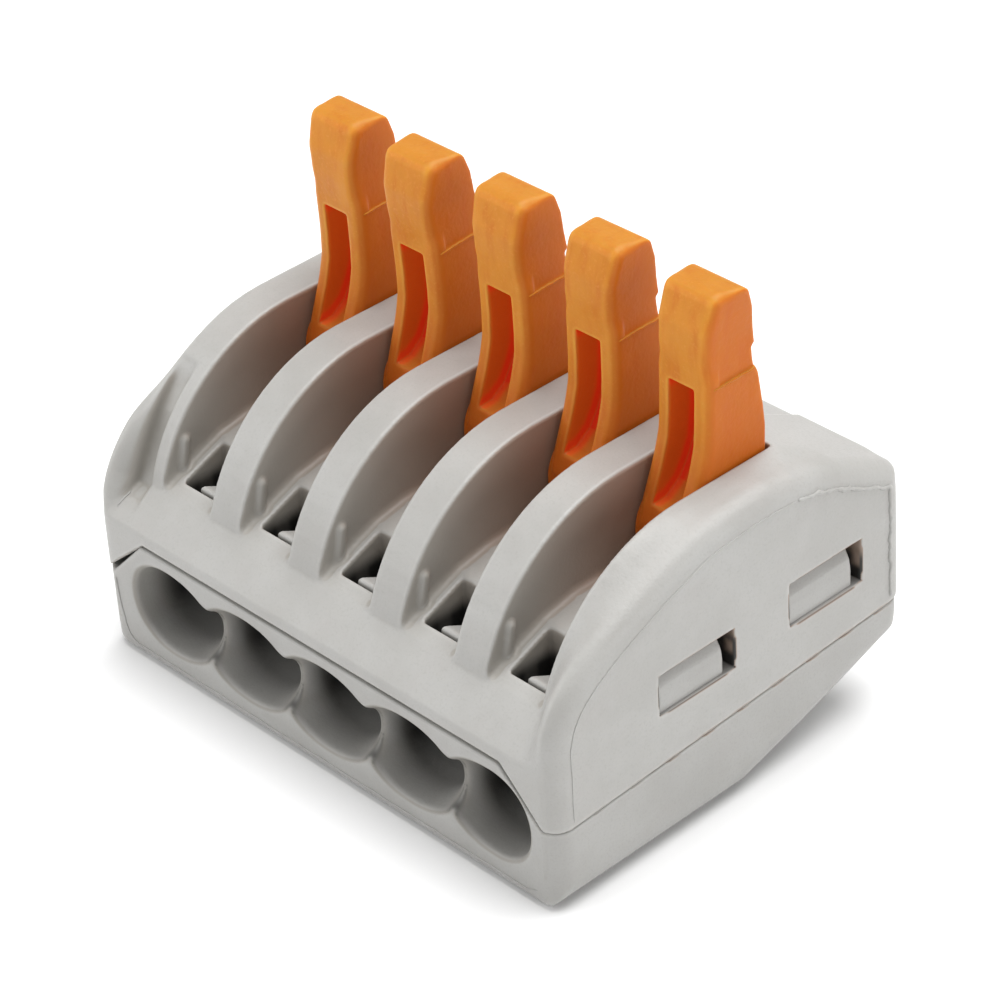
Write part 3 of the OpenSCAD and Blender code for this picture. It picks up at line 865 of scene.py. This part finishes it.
def levers():
    field = lever_field()
    points, quads = field.surface()
    # thin bead along the step of the +x side
    step = [[1.49, y, 7.03] for y in np.linspace(-0.18, 2.2, 30)]
    step_bead = bead_mesh(*field.settle(step, sideways=True), radius=0.05, wobble=0.35, seed=5)
    vertices, quads = join([(points, quads), step_bead])
    for k, (lean, tilt, tip_set, lift) in enumerate(LEVER_PLAY, 1):
        placed = turn(vertices, lean)
        placed[:, 0] -= tip_set * (np.clip(vertices[:, 2] - 3, 0, 8) / 8) ** 2.5
        placed = turn(placed, tilt, first=0)
        placed += [POLES[k - 1], AXIS_DEPTH, AXIS_Z + lift]
        obj = piece(f"lever_arm_{k}", placed, quads, ORANGE[k - 1], f"lever_{k}_body",
                    f"lever_{k}", "lever_orange")
        store_surface(obj, field, points, reach=0.18, probes=(0.4, 0.8, 1.4))


# ---------------------------------------------------------------- clamps and current bar
def springs():
    """Bent spring legs, and the cages that hang from their tongues."""
    half_width, bend_radius = 1.8, 0.9
    field = Field((-2.2, -8.8, -5.4), (2.2, 0.9, 1.6), CAGE_STEP)
    across = (-half_width, half_width)
    field.box(field.add, across, (-8.0, 0.02), (0.75, 1.05), edge=0.06)
    field.box(field.add, across, (-8.15, -7.85), (-4.6, 1.05), blend=0.12, edge=0.06)
    field.box(field.cut, (-1.4, 1.4), (-9, -7), (-4.0, -0.1), blend=0.05, edge=0.2)
    cage, cage_quads = field.surface()
    for k, pole in enumerate(POLES, 1):
        angle = SPRING_ANGLE - SPRING_FOLLOW * LEVER_PLAY[k - 1][0]
        place = [pole, BEND_DEPTH, BEND_Z]
        path = [[-6.7 + i * 0.42, -bend_radius] for i in range(16)]
        path += arc((0, 0), bend_radius, -90, 90 + angle, 30)
        leg, leg_quads = strip_mesh(path, half_width, thickness=0.3)
        obj = mesh_object(f"spring_leg_{k}", leg + place, leg_quads, STEEL)
        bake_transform(obj)
        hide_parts(f"clamp_spring_{k}")
        piece(f"spring_cage_{k}", turn(cage, angle) + place, cage_quads, STEEL,
              f"tongue_{k}_body", f"clamp_tongue_{k}", "spring_steel")


def current_bar():
    """Flat bar with three grooves across its underside at each pole."""
    field = Field((-12.7, 8.5, 4.8), (12.6, 15.2, 6.8), BAR_STEP)
    field.box(field.add, (-12.2, 12.1), (9.0, 14.7), (5.22, 6.3), edge=0.12)
    for pole in POLES:
        for j in range(3):
            field.rod(field.cut, (pole - 1.3, pole + 1.3), 10.2 + 0.8 * j, 5.2,
                      radius=0.16, blend=0.05)
    piece("current_bar", *field.surface(), COPPER, "housing", "busbar", "tinned_copper")


upper_shell()
lower_shell()
levers()
springs()
current_bar()


# ---------------------------------------------------------------- floor, light and camera
def floor():
    mesh = bpy.data.meshes.new("floor")
    mesh.from_pydata([(-3, -3, 0), (3, -3, 0), (3, 3, 0), (-3, 3, 0)], [], [(0, 1, 2, 3)])
    obj = bpy.data.objects.new("floor", mesh)
    bpy.context.scene.collection.objects.link(obj)
    obj.location.z = -0.00002
    white = {"Base Color": (0.93, 0.93, 0.93), "Roughness": 0.8}
    mesh.materials.append(Shader("floor_white").finish(white))


def area(name, location, size, power):
    """Rectangular light aimed at the connector."""
    light = bpy.data.lights.new(name, "AREA")
    light.shape = "RECTANGLE"
    light.size, light.size_y = size
    light.energy = power
    obj = bpy.data.objects.new(name, light)
    obj.location = location
    obj.rotation_mode = "QUATERNION"
    aim = Vector((0, 0, 0.005)) - Vector(location)
    obj.rotation_quaternion = aim.to_track_quat("-Z", "Y")
    bpy.context.scene.collection.objects.link(obj)


def world():
    studio = bpy.data.worlds.new("studio")
    studio.use_nodes = True
    background = studio.node_tree.nodes["Background"]
    background.inputs["Color"].default_value = (1, 1, 1, 1)
    background.inputs["Strength"].default_value = 0.35
    bpy.context.scene.world = studio
    bpy.context.scene.view_settings.view_transform = "Standard"


def camera(azimuth, elevation, roll, distance, shift, lens):
    """Camera aimed at the connector, with angles in degrees and shift across its view."""
    azimuth, elevation, roll = [math.radians(angle) for angle in (azimuth, elevation, roll)]
    forward = Vector((-math.sin(azimuth) * math.cos(elevation),
                      math.cos(azimuth) * math.cos(elevation), -math.sin(elevation)))
    level = Vector((math.cos(azimuth), math.sin(azimuth), 0))
    upright = level.cross(forward)
    right = level * math.cos(roll) + upright * math.sin(roll)
    top = -level * math.sin(roll) + upright * math.cos(roll)
    data = bpy.data.cameras.new("camera")
    data.sensor_width = 36
    data.lens = lens
    data.clip_start, data.clip_end = 0.01, 10
    obj = bpy.data.objects.new("camera", data)
    bpy.context.scene.collection.objects.link(obj)
    pose = Matrix((right, top, -forward)).transposed().to_4x4()
    target = Vector((0, 0.00005, 0.0084))
    pose.translation = target - forward * distance + right * shift[0] + top * shift[1]
    obj.matrix_world = pose
    bpy.context.scene.camera = obj


floor()
area("key", location=(0.02, 0.12, 0.45), size=(0.42, 0.42), power=3.05)
area("fill_front", location=(-0.26, -0.33, 0.2), size=(0.4, 0.3), power=0.86)
area("fill_right", location=(0.46, 0.09, 0.14), size=(0.3, 0.25), power=0.6)
world()
camera(azimuth=48.279, elevation=34.316, roll=-3.756, distance=0.161836,
       shift=(0.000401, 0.000071), lens=138.36)
